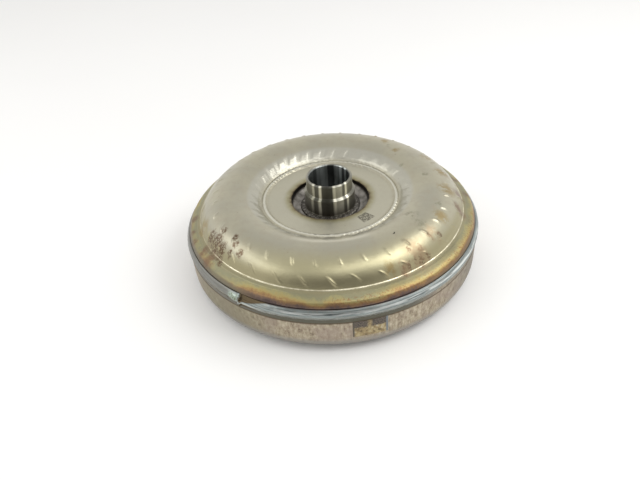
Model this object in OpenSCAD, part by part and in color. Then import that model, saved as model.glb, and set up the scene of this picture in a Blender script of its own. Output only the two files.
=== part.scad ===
// Lock-up torque converter for a passenger-car automatic gearbox.
// Z is the spin axis. The converter stands on its drive lugs (z = 0), gearbox side up.

/* [Housing] */
// Outer radius of the front cover
cover_r = 140.6; // [139.6:0.1:141.6]
// Wall thickness of the front cover
cover_t = 4; // [3.6:0.1:4.2]
// Height of the cover's open edge above the lug faces
cover_top_z = 43.5; // [42:0.5:45]
// Wall thickness of the impeller shell
shell_t = 3.2; // [2.8:0.1:3.4]
// Height of the flat plate round the hub
plate_z = 67.2; // [67:0.1:68]
// Radius of the sunken seat round the hub
recess_r = 37.5; // [37:0.1:39]
// Radius of the girth weld's crown
weld_r = 142; // [141.6:0.1:142.6]

/* [Hub and mountings] */
// Inner radius of the impeller hub
hub_bore_r = 19.1; // [18.5:0.1:19.5]
// Radius of the hub's running journal
hub_journal_r = 24.2; // [23.8:0.1:24.5]
// Radius of the hub's upper land
hub_land_r = 21.9; // [21.5:0.1:22.4]
// Height of the hub's rim
hub_top_z = 91.7; // [88:0.1:94]
// Radius of the crankshaft pilot
pilot_r = 15; // [14:0.5:16]
// Number of drive lugs
lug_count = 6; // [3:1:6]
// Pitch circle diameter of the drive lugs
lug_pcd = 212; // [208:1:220]
// Outer radius of one drive lug
lug_r = 11; // [9:0.5:11]
// Radius of the tapped hole in a lug
lug_hole_r = 4.25; // [3.4:0.05:4.25]

/* [Fluid circuit] */
// Number of impeller blades
impeller_blade_count = 34; // [27:1:34]
// Number of turbine blades
turbine_blade_count = 31; // [27:1:34]
// Number of stator blades
stator_blade_count = 23; // [17:1:25]
// Thickness of the sheet blades
blade_t = 1; // [0.8:0.1:1.2]

/* [Lock-up clutch and damper] */
// Number of damper springs
spring_count = 6; // [6:1:6]
// Travel of the damper to each side, in degrees
damper_stop_deg = 7; // [5:0.5:7]
// Gap between the friction lining and the cover
lining_gap = 1.25; // [1:0.05:1.5]

/* [One-way clutch] */
// Number of rollers
roller_count = 8; // [6:1:9]
// Radius of one roller
roller_r = 3; // [2.6:0.1:3]

/* [Hidden] */
$fn = 96;
eps = 0.5;                  // how far a cutting tool reaches past the faces it cuts

// ---- heights of the housing ----
cover_face_z = 6;           // flat annulus that carries the lugs
cover_dish_z = 8;           // shallow dish round the pilot
cover_corner_r = 11;
boss_seat_r = 11;            // hole in the cover that the pilot boss fills
dish_r = 78;                // rim of the dish, which slopes out to the lug face
lug_face_r = 84;
rabbet_z = 34;              // shoulder in the cover that the shell stands on
shell_skirt_r = 138.2;
floor_z = 58.6;             // floor of the sunken seat round the hub
hub_root_r = 24.6;          // hub radius below its journal
hub_root_z = 61;
dome_r = 96;                // radius of the dome's crest
dome_z = 48.5;              // height of the dome arc's centre
dome_arc_r = 32.4;
hub_step_z = 78.5;          // where the journal steps down to the land
hub_flange_r = 35;
hub_flange_z = 52.8;
hub_bevel = 1.2;
hub_step_w = 2;             // height of the slope between land and journal
hub_weld_w = 4.6;
hub_weld_h = 2.2;
ridge_r = 64.8;             // low ridge where the plate turns up into the dome
ridge_h = 1.3;
ridge_half_w = 1.2;
weld_arc_r = 4.6;           // crown of the girth weld
weld_arc_z = 44.6;
label_start = 275;
label_deg = 12.3;
label_z = 19;
label_h = 17;
label_t = 0.25;
floor_under_z = floor_z - shell_t;

// ---- heights of the inner stack ----
cover_inner_z = cover_dish_z + cover_t;
race_t = 0.9;
needle_r = 1.08;
needle_room = 2.2;
bearing_t = 2 * race_t + needle_room;
turbine_hub_z = cover_inner_z + bearing_t;
driven_z = 21.1;
driven_t = 3;
driven_in_r = 36;
driven_out_r = 118;
hub_web_z = driven_z + driven_t;
turbine_flange_z = 30.1;
turbine_t = 1.8;
turbine_web_r = 54;         // flange of the turbine hub
turbine_hub_bevel = 1.1;
rivet_circle_r = 46;        // rivets through driven plate, hub and turbine shell
rivet_count = 8;
rivet_r = 3.5;
spigot_r = 38;
middle_z = 32;              // seat of the middle bearing on the turbine hub
washer_z = middle_z + bearing_t;
washer_t = 1.9;
rear_z = hub_flange_z - bearing_t;
split_z = 52.5;             // plane between impeller and turbine
stator_low_z = 44;
stator_high_z = 61;
leg_gap = 1;                // room between the stator and its neighbours' blades

// ---- radii of the fluid circuit ----
circuit_in_r = 67;
circuit_out_r = 123.5;
turbine_depth = 23.5;
turbine_half_w = 31.5;
core_r = 98;
core_half_w = 12.5;
core_half_h = 11.5;
core_t = 1.2;
core_gap = 1.2;             // half the gap between the two core rings
blade_bend_r = 48;          // plan radius of a blade
stator_rim_r = 62;
stator_rim_t = 4;
stator_tip_r = 80;
stator_shroud_r = 83;

// ---- one-way clutch ----
inner_race_r = 22;
inner_race_bore_r = 14;
inner_spline_r = 16;
inner_spline_teeth = 30;
spline_depth = 1.1;
roller_gap = 0.05;
roller_pitch_r = inner_race_r + roller_r + roller_gap;
outer_race_in_r = 27;
outer_race_r = 35;
washer_in_r = 22.6;
washer_out_r = 38;
clutch_z = washer_z + washer_t + 0.1;
clutch_top_z = rear_z - washer_t - 0.1;

// ---- lock-up clutch and damper ----
lining_t = 1.6;
lining_in_r = 98;
lining_out_r = 124;
piston_t = 3;
piston_z = cover_face_z + cover_t + lining_gap + lining_t;
piston_rise = 2.35;
piston_bore_r = 30;
piston_rim_r = 127.2;
piston_rim_z = 22;
piston_step_in_r = 88;      // slope between the pressure face and the web
piston_step_out_r = 92;
piston_collar_h = 8;
piston_fit = 0.05;
tab_w = 14;
tab_slack = 0.3;            // room on each side of a tab in the piston rim
tab_reach = 0.8;            // how far a tab stands out of the rim
spring_r = 5.25;
wire_r = 1.3;
spring_turns = 7;
spring_path_r = 108.5;
spring_z = driven_z + driven_t / 2;
spring_deg = 36;
spring_slack = 0.35;        // gap between a spring and its window
spring_end_deg = 0.9;
retainer_t = 2;
retainer_in_r = 94;
retainer_out_r = 123.5;
retainer_gap = 3;           // from the spring's centre plane to each retainer
stop_r = 3.5;
stop_neck_r = 2.5;
stop_head_r = 4.5;
stop_head_t = 1.2;
turbine_spline_r = 11.8;
turbine_spline_teeth = 24;
seal_z = 18.4;
seal_in_r = 27.4;
seal_w = 2.4;

// ---- helpers ----

// Points on an elliptical arc in the (radius, height) plane
function arc(c, a, b, from, to, steps) =
    [for (i = [0:steps]) let (w = from + (to - from) * i / steps) [c[0] + a * cos(w), c[1] + b * sin(w)]];

// Unit normal on the right-hand side of the stretch from p to q
function right_of(p, q) = let (d = (q - p) / norm(q - p)) [d[1], -d[0]];

// A line moved sideways by t, with mitred corners
function inset(line, t) = [for (i = [0:len(line) - 1]) let (
    last = len(line) - 1,
    n1 = i > 0 ? right_of(line[i - 1], line[i]) : right_of(line[i], line[i + 1]),
    n2 = i < last ? right_of(line[i], line[i + 1]) : n1
) line[i] + t * (n1 + n2) / (1 + n1 * n2)];

function reversed(line) = [for (i = [len(line) - 1:-1:0]) line[i]];

// Sheet metal of thickness t on the right-hand side of a line
module sheet(line, t) {
    polygon(concat(line, reversed(inset(line, t))));
}

// Outline of an internal spline: teeth reach in to r, roots go out by depth
function spline_outline(teeth, r, depth) = [for (i = [0:4 * teeth - 1]) let (
    w = 360 / teeth * (floor(i / 4) + [0, 0.4, 0.55, 0.85][i % 4]),
    rr = i % 4 < 2 ? r : r + depth
) [rr * cos(w), rr * sin(w)]];

module around(count, r = 0, start = 0) {
    for (i = [0:count - 1]) rotate(start + i * 360 / count) translate([r, 0, 0]) children();
}

module ring(r_in, r_out, z, t) {
    rotate_extrude() translate([r_in, z]) square([r_out - r_in, t]);
}

// Annular slot of half-width half_w, spanning deg to each side of the X axis
module arc_slot(r, half_w, deg, z, t) {
    rotate_extrude(angle = 2 * deg, start = -deg) translate([r - half_w, z - eps])
        square([2 * half_w, t + 2 * eps]);
}

// ---- outlines ----
cover_line = concat(
    [[boss_seat_r, cover_dish_z], [dish_r, cover_dish_z], [lug_face_r, cover_face_z]],
    arc([cover_r - cover_corner_r, cover_face_z + cover_corner_r], cover_corner_r, cover_corner_r, -90, 0, 8),
    [[cover_r, cover_top_z]]
);

shell_line = concat(
    [
        [hub_root_r, floor_z], [recess_r, floor_z], [recess_r, plate_z],
        [ridge_r - 3 * ridge_half_w, plate_z], [ridge_r - ridge_half_w, plate_z + ridge_h],
        [ridge_r + ridge_half_w, plate_z + ridge_h], [70, plate_z + 3.8], [78, plate_z + 9.3],
        [87, plate_z + 12.7]
    ],
    arc([dome_r, dome_z], dome_arc_r, dome_arc_r, 90, 21, 10),
    [[129.5, 58.4], [136, 54.5], [shell_skirt_r, 51], [shell_skirt_r, rabbet_z]]
);

turbine_line = concat(
    [[spigot_r, turbine_flange_z]],
    arc([dome_r, split_z], turbine_half_w, turbine_depth, -107.6, -1, 12)
);

impeller_core_line = arc([core_r, split_z + core_gap], core_half_w, core_half_h, 165, 0, 10);
turbine_core_line = arc([core_r, split_z - core_gap], core_half_w, core_half_h, -165, 0, 10);
core_base = [[core_r + core_half_w, split_z], [core_r - core_half_w, split_z]];

// ---- housing ----

module front_cover() {
    color([0.62, 0.56, 0.50]) rotate_extrude() difference() {
        sheet(cover_line, -cover_t);
        translate([cover_r - cover_t - eps, rabbet_z])
            square([shell_skirt_r - cover_r + cover_t + eps, cover_top_z - rabbet_z + eps]);
    }
}

module pilot_boss() {
    pilot_low_z = 1.5;
    color([0.70, 0.70, 0.70]) rotate_extrude() polygon([
        [0, pilot_low_z], [pilot_r - 1.5, pilot_low_z], [pilot_r, pilot_low_z + 1.5],
        [pilot_r, cover_dish_z], [boss_seat_r, cover_dish_z], [boss_seat_r, cover_inner_z], [0, cover_inner_z]
    ]);
}

module drive_lugs() {
    color([0.55, 0.55, 0.56]) around(lug_count, lug_pcd / 2) rotate_extrude() polygon([
        [lug_hole_r, 0], [lug_r - 0.8, 0], [lug_r, 0.8], [lug_r, cover_face_z], [lug_hole_r, cover_face_z]
    ]);
}

module lug_welds() {
    weld_w = 2;
    color([0.45, 0.45, 0.47]) around(lug_count, lug_pcd / 2) rotate_extrude() polygon([
        [lug_r, cover_face_z - weld_w], [lug_r + weld_w, cover_face_z], [lug_r, cover_face_z]
    ]);
}

module impeller_shell() {
    color([0.72, 0.69, 0.60]) rotate_extrude() sheet(shell_line, shell_t);
}

module girth_weld() {
    color([0.60, 0.64, 0.68]) rotate_extrude() polygon(concat(
        [[shell_skirt_r, cover_top_z], [cover_r, cover_top_z], [cover_r, cover_top_z - 3.4]],
        arc([weld_r - weld_arc_r, weld_arc_z], weld_arc_r, weld_arc_r, -38, 38, 6),
        [[139.4, 49.4], [shell_skirt_r, 50.2]]
    ));
}

module impeller_hub() {
    color([0.78, 0.78, 0.78]) rotate_extrude() polygon([
        [hub_bore_r, hub_flange_z], [hub_flange_r, hub_flange_z], [hub_flange_r, floor_under_z],
        [hub_root_r, floor_under_z], [hub_root_r, hub_root_z], [hub_journal_r, hub_root_z],
        [hub_journal_r, hub_step_z - hub_step_w], [hub_land_r, hub_step_z],
        [hub_land_r, hub_top_z - hub_bevel], [hub_land_r - hub_bevel, hub_top_z],
        [hub_bore_r + hub_bevel, hub_top_z], [hub_bore_r, hub_top_z - hub_bevel]
    ]);
}

module hub_weld() {
    color([0.42, 0.40, 0.42]) rotate_extrude() polygon([
        [hub_root_r, floor_z], [hub_root_r + hub_weld_w, floor_z],
        [hub_root_r + 3, floor_z + 1.4], [hub_root_r, floor_z + hub_weld_h]
    ]);
}

module id_label() {
    color([0.80, 0.62, 0.20]) rotate_extrude(angle = label_deg, start = label_start)
        translate([cover_r, label_z]) square([label_t, label_h]);
}

// ---- blades and core rings ----

// One curved sheet blade: the given section, cut to a thin wall that is bent in plan
module blade(z_low) {
    intersection() {
        rotate_extrude(angle = 20, start = -4) children();
        translate([dome_r, blade_bend_r, z_low]) difference() {
            cylinder(r = blade_bend_r + blade_t / 2, h = 60);
            translate([0, 0, -eps]) cylinder(r = blade_bend_r - blade_t / 2, h = 60 + 2 * eps);
        }
    }
}

module impeller_section() {
    difference() {
        intersection() {
            polygon(concat(inset(shell_line, shell_t), [[0, rabbet_z], [0, floor_under_z]]));
            translate([circuit_in_r, split_z + core_gap])
                square([circuit_out_r - circuit_in_r, 40]);
        }
        polygon(concat(impeller_core_line, core_base));
        square([core_r - core_half_w + 2, stator_high_z + leg_gap]);
    }
}

module turbine_section() {
    difference() {
        intersection() {
            polygon(concat(reversed(inset(turbine_line, -turbine_t)), [[0, turbine_flange_z + turbine_t], [0, 80]]));
            translate([circuit_in_r, 0]) square([dome_r + turbine_half_w - circuit_in_r, split_z - core_gap]);
        }
        polygon(concat(turbine_core_line, core_base));
        translate([0, stator_low_z - leg_gap]) square([core_r - core_half_w + 2, 40]);
    }
}

module impeller_blades() {
    color([0.60, 0.60, 0.60]) around(impeller_blade_count, 0, 4) blade(rabbet_z) impeller_section();
}

module turbine_blades() {
    color([0.60, 0.60, 0.60]) around(turbine_blade_count) mirror([0, 1, 0])
        blade(turbine_hub_z) turbine_section();
}

module impeller_core_ring() {
    color([0.63, 0.63, 0.62]) rotate_extrude() sheet(impeller_core_line, core_t);
}

module turbine_core_ring() {
    color([0.63, 0.63, 0.62]) rotate_extrude() sheet(turbine_core_line, -core_t);
}

// ---- turbine ----

module rivet_holes(z) {
    around(rivet_count, rivet_circle_r) translate([0, 0, z - eps]) cylinder(r = rivet_r, h = 10, $fn = 32);
}

module turbine_hub() {
    seat_r = piston_bore_r - piston_fit;
    color([0.66, 0.66, 0.67]) difference() {
        rotate_extrude() polygon([
            [0, turbine_hub_z], [seat_r - turbine_hub_bevel, turbine_hub_z],
            [seat_r, turbine_hub_z + turbine_hub_bevel],
            [seat_r, seal_z], [seal_in_r, seal_z], [seal_in_r, seal_z + seal_w],
            [seat_r, seal_z + seal_w], [seat_r, hub_web_z],
            [turbine_web_r, hub_web_z], [turbine_web_r, turbine_flange_z], [spigot_r, turbine_flange_z],
            [spigot_r, middle_z], [0, middle_z]
        ]);
        translate([0, 0, turbine_hub_z - eps]) linear_extrude(middle_z - turbine_hub_z + 2 * eps)
            polygon(spline_outline(turbine_spline_teeth, turbine_spline_r, spline_depth));
        rivet_holes(hub_web_z);
    }
}

module turbine_shell() {
    color([0.64, 0.63, 0.60]) difference() {
        rotate_extrude() sheet(turbine_line, -turbine_t);
        rivet_holes(hub_web_z);
    }
}

module turbine_rivets() {
    head_r = 5.5;
    head_t = 1.5;
    top_z = turbine_flange_z + turbine_t;
    color([0.50, 0.50, 0.52]) around(rivet_count, rivet_circle_r) rotate_extrude($fn = 32) polygon([
        [0, driven_z - head_t], [head_r - 1, driven_z - head_t], [head_r, driven_z - 0.6], [head_r, driven_z],
        [rivet_r, driven_z], [rivet_r, top_z], [head_r, top_z], [head_r, top_z + 0.6],
        [head_r - 1, top_z + head_t], [0, top_z + head_t]
    ]);
}

module piston_seal_ring() {
    color([0.15, 0.15, 0.15]) ring(seal_in_r, piston_bore_r - piston_fit / 2, seal_z, seal_w);
}

module damper_driven_plate() {
    color([0.50, 0.50, 0.52]) difference() {
        ring(driven_in_r, driven_out_r, driven_z, driven_t);
        rivet_holes(driven_z);
        around(spring_count) arc_slot(spring_path_r, spring_r + spring_slack, spring_deg / 2, driven_z, driven_t);
        around(spring_count, 0, 180 / spring_count)
            arc_slot(spring_path_r, stop_r + 0.3, damper_stop_deg + 1.95, driven_z, driven_t);
    }
}

// ---- lock-up clutch ----

module lockup_piston() {
    line = [
        [piston_rim_r, piston_rim_z], [piston_rim_r, piston_z], [piston_step_out_r, piston_z],
        [piston_step_in_r, piston_z + piston_rise], [piston_bore_r, piston_z + piston_rise],
        [piston_bore_r, piston_z + piston_rise + piston_collar_h]
    ];
    color([0.58, 0.58, 0.60]) difference() {
        rotate_extrude() sheet(line, piston_t);
        around(spring_count) translate([120, -tab_w / 2 - tab_slack, 17])
            cube([12, tab_w + 2 * tab_slack, 10]);
    }
}

module friction_lining() {
    color([0.28, 0.22, 0.16]) ring(lining_in_r, lining_out_r, piston_z - lining_t, lining_t);
}

// ---- damper ----

module retainer(z) {
    difference() {
        ring(retainer_in_r, retainer_out_r, z, retainer_t);
        around(spring_count) arc_slot(spring_path_r, spring_r - 0.45, spring_deg / 2, z, retainer_t);
        around(spring_count, spring_path_r, 180 / spring_count)
            translate([0, 0, z - eps]) cylinder(r = stop_neck_r, h = retainer_t + 2 * eps, $fn = 32);
    }
}

module damper_front_retainer() {
    z = spring_z - retainer_gap - retainer_t;
    color([0.52, 0.52, 0.55]) {
        union() {
            retainer(z);
            around(spring_count) intersection() {
                translate([retainer_out_r - 2, -tab_w / 2, z]) cube([12, tab_w, retainer_t]);
                ring(retainer_out_r - 1, piston_rim_r + tab_reach, z, retainer_t);
            }
        }
    }
}

module damper_rear_retainer() {
    color([0.52, 0.52, 0.55]) retainer(spring_z + retainer_gap);
}

module damper_stop_rivets() {
    low_z = spring_z - retainer_gap;
    high_z = spring_z + retainer_gap;
    color([0.45, 0.45, 0.48]) around(spring_count, spring_path_r, 180 / spring_count)
        rotate_extrude($fn = 32) polygon([
            [0, low_z - retainer_t - stop_head_t], [stop_head_r - 0.5, low_z - retainer_t - stop_head_t],
            [stop_head_r, low_z - retainer_t], [stop_neck_r, low_z - retainer_t], [stop_neck_r, low_z],
            [stop_r, low_z], [stop_r, high_z], [stop_neck_r, high_z], [stop_neck_r, high_z + retainer_t],
            [stop_head_r, high_z + retainer_t], [stop_head_r - 0.5, high_z + retainer_t + stop_head_t],
            [0, high_z + retainer_t + stop_head_t]
        ]);
}

// One coil spring, wound along an arc of the spring path
module arc_spring() {
    sides = 5;
    steps = spring_turns * 9;
    coil_r = spring_r - wire_r;
    half_deg = spring_deg / 2 - spring_end_deg;
    advance = spring_path_r * half_deg * PI / 90;
    points = [for (i = [0:steps]) let (
        u = i / steps,
        w = half_deg * (2 * u - 1),
        turn = 360 * spring_turns * u,
        out = [cos(w), sin(w), 0],
        along = [-sin(w), cos(w), 0],
        up = [0, 0, 1],
        arm = cos(turn) * out + sin(turn) * up,
        path = advance * along + 2 * PI * spring_turns * coil_r * (cos(turn) * up - sin(turn) * out),
        side = cross(path / norm(path), arm)
    ) for (k = [0:sides - 1]) spring_path_r * out + [0, 0, spring_z]
        + (coil_r + wire_r * cos(360 * k / sides)) * arm + wire_r * sin(360 * k / sides) * side];
    walls = [for (i = [0:steps - 1], k = [0:sides - 1]) let (
        a = i * sides + k,
        b = i * sides + (k + 1) % sides
    ) each [[a, a + sides, b], [b, a + sides, b + sides]]];
    ends = [[for (k = [0:sides - 1]) k], [for (k = [sides - 1:-1:0]) steps * sides + k]];
    polyhedron(points, concat(walls, ends));
}

module damper_springs() {
    color([0.35, 0.36, 0.38]) around(spring_count) arc_spring();
}

// ---- needle thrust bearings: inner radius of the needles, their length and count ----
front_bearing = [19, 7.5, 20, cover_inner_z];
middle_bearing = [26, 7.5, 26, middle_z];
rear_bearing = [24.5, 7.5, 26, rear_z];
race_margin = 1.2;

module bearing_race(bearing, above) {
    z = bearing[3] + (above ? bearing_t - race_t : 0);
    color([0.72, 0.72, 0.74]) ring(bearing[0] - race_margin, bearing[0] + bearing[1] + race_margin, z, race_t);
}

module bearing_cage(bearing) {
    cage_t = 1.2;
    mid_z = bearing[3] + bearing_t / 2;
    color([0.60, 0.52, 0.34]) difference() {
        ring(bearing[0] - race_margin, bearing[0] + bearing[1] + race_margin, mid_z - cage_t / 2, cage_t);
        around(bearing[2], bearing[0]) translate([-0.1, -needle_r - 0.1, mid_z - cage_t])
            cube([bearing[1] + 0.2, 2 * needle_r + 0.2, 2 * cage_t]);
    }
}

module bearing_needles(bearing) {
    color([0.80, 0.80, 0.82]) around(bearing[2], bearing[0])
        translate([0, 0, bearing[3] + bearing_t / 2]) rotate([0, 90, 0])
            cylinder(r = needle_r, h = bearing[1], $fn = 24);
}

// ---- stator and one-way clutch ----

module stator_vane() {
    chord = stator_high_z - stator_low_z - 1;
    lean = 0.55;
    outline = concat(
        [for (u = [0:0.125:1]) [lean * chord * u * u + 2.4 * sin(180 * sqrt(u)) * (1 - 0.7 * u), chord * u]],
        [for (u = [0.875:-0.125:0.125]) [lean * chord * u * u - 1.2 * sin(180 * sqrt(u)) * (1 - 0.7 * u), chord * u]]
    );
    intersection() {
        translate([stator_rim_r - 1, 0, stator_low_z + 0.5]) rotate([90, 0, 90])
            linear_extrude(stator_shroud_r - stator_rim_r) polygon(outline);
        ring(stator_rim_r - 0.8, stator_tip_r + 0.8, stator_low_z, stator_high_z - stator_low_z);
    }
}

module stator_wheel() {
    boss_r = 44;
    color([0.74, 0.75, 0.76]) union() {
        rotate_extrude() polygon([
            [washer_out_r, washer_z], [boss_r, washer_z], [boss_r, 41], [stator_rim_r - stator_rim_t, stator_low_z],
            [stator_rim_r, stator_low_z], [stator_rim_r, stator_high_z],
            [stator_rim_r - stator_rim_t, stator_high_z], [stator_rim_r - stator_rim_t, rear_z],
            [washer_out_r, rear_z], [washer_out_r, clutch_top_z], [outer_race_r, clutch_top_z],
            [outer_race_r, clutch_z], [washer_out_r, clutch_z]
        ]);
        ring(stator_tip_r, stator_shroud_r, stator_low_z, stator_high_z - stator_low_z);
        around(stator_blade_count) stator_vane();
    }
}

module stator_washer(z) {
    color([0.68, 0.58, 0.38]) ring(washer_in_r, washer_out_r, z, washer_t);
}

module clutch_outer_race() {
    pocket_r = roller_r + 0.25;
    spring_room = 7.5;
    color([0.58, 0.58, 0.60]) difference() {
        ring(outer_race_in_r, outer_race_r, clutch_z, clutch_top_z - clutch_z);
        around(roller_count, roller_pitch_r) translate([0, 0, clutch_z - eps]) {
            cylinder(r = pocket_r, h = clutch_top_z - clutch_z + 2 * eps, $fn = 48);
            translate([-pocket_r, 0, 0]) cube([2 * pocket_r - 0.5, spring_room, clutch_top_z - clutch_z + 2 * eps]);
        }
    }
}

module clutch_rollers() {
    color([0.80, 0.80, 0.82]) around(roller_count, roller_pitch_r)
        translate([0, 0, clutch_z + 0.2]) cylinder(r = roller_r, h = clutch_top_z - clutch_z - 0.4, $fn = 32);
}

// Folded leaf springs that hold the rollers against their ramps
module clutch_roller_springs() {
    folds = 4;
    leaf_t = 0.3;
    fold_line = [for (i = [0:folds]) [i % 2 == 0 ? -1.6 : 1, roller_r + 0.2 + i]];
    color([0.55, 0.56, 0.58]) around(roller_count, roller_pitch_r) translate([0, 0, clutch_z + 1])
        linear_extrude(clutch_top_z - clutch_z - 2) sheet(fold_line, leaf_t);
}

module clutch_inner_race() {
    color([0.66, 0.66, 0.68]) difference() {
        ring(inner_race_bore_r, inner_race_r, washer_z + 0.3, rear_z - washer_z - 0.6);
        translate([0, 0, washer_z]) linear_extrude(rear_z - washer_z)
            polygon(spline_outline(inner_spline_teeth, inner_spline_r, spline_depth));
    }
}

front_cover();
pilot_boss();
drive_lugs();
lug_welds();
impeller_shell();
girth_weld();
impeller_hub();
hub_weld();
impeller_blades();
impeller_core_ring();
id_label();
bearing_race(front_bearing, false);  // front_bearing_cover_race
bearing_race(front_bearing, true);  // front_bearing_turbine_race
bearing_cage(front_bearing);  // front_bearing_cage
bearing_needles(front_bearing);  // front_bearing_needles
turbine_hub();
turbine_shell();
turbine_blades();
turbine_core_ring();
turbine_rivets();
piston_seal_ring();
damper_driven_plate();
damper_front_retainer();
damper_rear_retainer();
damper_stop_rivets();
damper_springs();
lockup_piston();
friction_lining();
bearing_race(middle_bearing, false);  // middle_bearing_turbine_race
bearing_race(middle_bearing, true);  // middle_bearing_stator_race
bearing_cage(middle_bearing);  // middle_bearing_cage
bearing_needles(middle_bearing);  // middle_bearing_needles
stator_wheel();
stator_washer(washer_z);  // stator_front_washer
stator_washer(rear_z - washer_t);  // stator_rear_washer
clutch_outer_race();
clutch_rollers();
clutch_roller_springs();
clutch_inner_race();
bearing_race(rear_bearing, false);  // rear_bearing_stator_race
bearing_race(rear_bearing, true);  // rear_bearing_hub_race
bearing_cage(rear_bearing);  // rear_bearing_cage
bearing_needles(rear_bearing);  // rear_bearing_needles
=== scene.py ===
import math

import bpy
import numpy as np
from mathutils import Matrix, Vector


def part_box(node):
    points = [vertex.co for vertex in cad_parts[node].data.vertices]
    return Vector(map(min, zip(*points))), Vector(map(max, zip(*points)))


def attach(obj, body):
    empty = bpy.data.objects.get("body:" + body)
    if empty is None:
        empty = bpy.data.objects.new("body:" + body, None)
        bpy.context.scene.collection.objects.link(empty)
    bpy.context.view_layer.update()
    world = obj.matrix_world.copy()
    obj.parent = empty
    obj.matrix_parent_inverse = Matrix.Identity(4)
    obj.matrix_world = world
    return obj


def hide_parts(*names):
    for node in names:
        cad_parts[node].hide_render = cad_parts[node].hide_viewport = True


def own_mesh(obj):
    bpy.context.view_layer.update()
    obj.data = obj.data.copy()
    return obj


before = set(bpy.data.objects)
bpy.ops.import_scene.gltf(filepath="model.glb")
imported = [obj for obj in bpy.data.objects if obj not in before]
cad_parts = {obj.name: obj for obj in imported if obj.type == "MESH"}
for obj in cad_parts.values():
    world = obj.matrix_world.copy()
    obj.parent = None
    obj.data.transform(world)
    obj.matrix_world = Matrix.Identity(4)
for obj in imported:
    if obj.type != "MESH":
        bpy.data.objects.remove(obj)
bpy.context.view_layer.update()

MM = 0.001

# ---- sizes: outer limits come from the frame ----

WELD_LOW, WELD_HIGH = (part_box("girth_weld")[i].z / MM for i in (0, 1))
WELD_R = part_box("girth_weld")[1].x / MM
HUB_LOW, HUB_TOP = (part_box("impeller_hub")[i].z / MM for i in (0, 1))
HUB_FLANGE_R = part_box("impeller_hub")[1].x / MM
COVER_LOW, COVER_HIGH = (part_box("front_cover")[i].z / MM for i in (0, 1))
RABBET_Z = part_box("impeller_shell")[0].z / MM
FLOOR_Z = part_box("hub_weld")[0].z / MM

# cover and shell: outer radii and wall thicknesses
COVER_R, COVER_T = 140.6, 4.0
SKIRT_R, SHELL_T = 138.2, 3.2
# hub: radii of its root, journal, land and bore, and the heights of its root and step
HUB_ROOT_R, JOURNAL_R, LAND_R, BORE_R = 24.6, 24.2, 21.9, 19.1
ROOT_Z, STEP_Z = 61.0, 78.5
# shell: recess round the hub, height of the hub plate, and the arc of the dome
RECESS_R, RECESS_WALL_R = 37.5, 40.7
PLATE_Z = 67.2
PLATE_EDGE = (66, 67)
DOME_R, DOME_Z, DOME_ARC = 96.0, 48.5, 32.4
# blade marks: one per blade, at this pitch in degrees, each off its place by up to about MARK_WANDER
BLADES = 34
PITCH = 360 / BLADES
MARK_WANDER = 0.25
# damper springs: half length in degrees, radius that the squash needs free, and how short a half becomes
SPRING_TURNS, SPRING_PATH_R, SPRING_HALF = 7, 108.5, 17.1
SPRING_ROOM, SPRING_KEEP, WIRE_R = 0.75, 0.62, 1.25
# girth weld: pitch of its ripples and azimuth where it ends, both in degrees, and its middle and half height
WELD_PITCH, WELD_END = 0.62, 234.8
BEAD_MID_Z, BEAD_HALF = 44.8, 5

# ---- marks on the shell: (azimuth, radius, size) ----

RUST_SPOTS = [
    (207, 121, 6), (212, 121.5, 9), (217, 122.5, 7.5), (220, 110, 4.4), (223, 114, 4), (227.5, 117.5, 4.4),
    (222.5, 121, 3.4), (211.5, 111.3, 4.2), (219.5, 128.4, 4), (303, 116, 2.6), (308, 118.4, 3.2),
    (310, 124.3, 2.6), (306, 124.6, 4), (300, 124, 2.6), (297.5, 125.6, 3.4), (303.5, 121.9, 2.4),
    (316, 115.7, 3.4), (321, 119.5, 3),
]
PINK_AREAS = [(306, 119, 17), (318, 115, 11), (298, 124, 8)]
TAN_AREAS = [
    (352, 111, 13), (8, 112, 12), (24, 110, 10), (330, 112, 10), (52, 101, 7), (61, 108, 5), (40, 92, 5),
    (292, 122, 7), (197, 124, 9),
]
BROWN_AREAS = [
    (208, 132, 9), (214, 132.5, 10), (193, 135.5, 5.5), (199, 135, 5.5), (344, 123, 9), (355, 123, 8),
    (2, 134, 7), (14, 131, 7), (184, 133, 7),
]
GRAY_SCUFFS = [(321, 90, 10), (318, 103, 7), (5.5, 93.2, 4), (24.5, 80, 3.5), (47.5, 94.4, 4), (338, 104, 7)]
DARK_DOT = [(302.5, 97.2, 1.1)]

# ---- painted reflections round the hub: (azimuth, brightness) ----

JOURNAL_PAINTED_REFLECTIONS = [
    (0, 0.62), (28, 0.9), (60, 0.5), (95, 1.0), (140, 0.5), (185, 0.8), (205, 0.45), (224, 0.42), (227, 1.2),
    (231, 1.2), (234, 0.16), (244, 0.24), (248, 2.0), (252, 2.0), (254, 0.24), (265, 0.12), (278, 0.14),
    (281, 1.9), (285, 1.9), (288, 1.0), (304, 1.0), (307, 0.22), (312, 0.22), (315, 1.8), (318, 1.8),
    (320, 0.45), (345, 0.4), (360, 0.62),
]
BORE_PAINTED_REFLECTIONS = [
    (0, 0.3), (15, 0.25), (28, 0.3), (32, 1.5), (37, 1.5), (40, 0.3), (47, 0.3), (50, 1.6), (56, 1.6),
    (59, 0.6), (65, 0.9), (72, 0.9), (75, 0.2), (92, 0.2), (95, 0.8), (100, 0.8), (103, 1.2), (112, 1.2),
    (117, 0.7), (126, 0.8), (130, 0.3), (140, 0.3), (145, 0.8), (165, 0.7), (200, 0.3), (235, 0.9),
    (270, 0.3), (310, 0.8), (360, 0.3),
]

# ---- studio: name, azimuth, elevation, width and height in degrees, radiance ----

LAMPS = [("key", 352, 48, 44, 24, 2.6), ("front", 306, 60, 44, 15, 1.5), ("left", 190, 38, 54, 20, 1.3)]
LAMP_DISTANCE = 1.3
FLOOR_SIZE = 6


# ---- lines in the (radius, height) plane, in millimetres ----

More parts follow.
